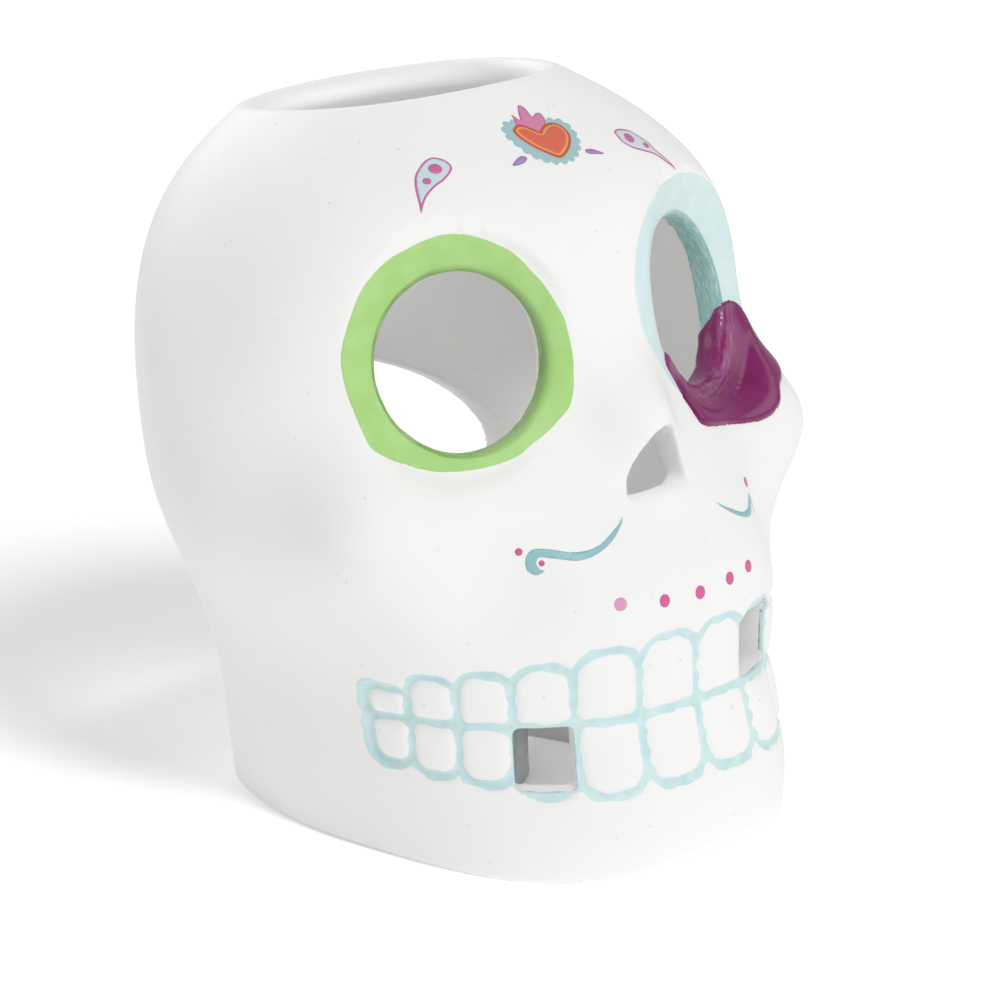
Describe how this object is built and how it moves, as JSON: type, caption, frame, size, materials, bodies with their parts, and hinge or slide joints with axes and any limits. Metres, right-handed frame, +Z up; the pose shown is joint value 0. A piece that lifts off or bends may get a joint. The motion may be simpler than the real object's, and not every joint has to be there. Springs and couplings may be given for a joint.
{
  "type": "ceramic sugar skull lantern",
  "caption": "Hollow ceramic sugar skull lantern with open eyes, nose, back, top and foot, painted sockets, printed ornaments and a lift-out tea light.",
  "frame": {"origin": "under the middle of the whole lantern, on the surface that it stands on", "axes": "+Z up, -Y the way the skull faces, +X towards the skull's left side"},
  "size_m": [0.1316, 0.1228, 0.1433],
  "materials": {
    "clay": "matte",
    "green_paint": "matte",
    "aqua_paint": "matte",
    "plum_glaze": "gloss",
    "coral_print": "satin",
    "pink_print": "satin",
    "purple_print": "satin",
    "teal_print": "satin",
    "tea_light_cup": "satin",
    "wax": "satin",
    "wick": "matte"
  },
  "bodies": {
    "skull": {"skull_shell": "clay", "green_socket_paint": "green_paint", "aqua_socket_paint": "aqua_paint", "plum_socket_glaze": "plum_glaze", "tooth_line_paint": "aqua_paint", "heart_transfer": "coral_print", "paisley_transfer_right": "pink_print", "paisley_transfer_left": "pink_print", "drop_transfer_right": "purple_print", "drop_transfer_left": "purple_print", "scroll_transfer_right": "teal_print", "scroll_transfer_left": "teal_print", "curl_dot_right": "pink_print", "curl_dot_left": "pink_print", "cheek_dot_right": "pink_print", "cheek_dot_left": "pink_print", "lip_dot_1": "pink_print", "lip_dot_2": "pink_print", "lip_dot_3": "pink_print", "lip_dot_4": "pink_print", "lip_dot_5": "pink_print"},
    "tea_light": {"tealight_cup": "tea_light_cup", "tealight_wax": "wax", "tealight_wick": "wick", "wick_tab": "tea_light_cup"}
  },
  "joints": [
    {"name": "tea_light_lift", "type": "slide", "parent": "skull", "child": "tea_light", "axis": [0, 0, 1], "range_m": [0, 0.16]}
  ]
}
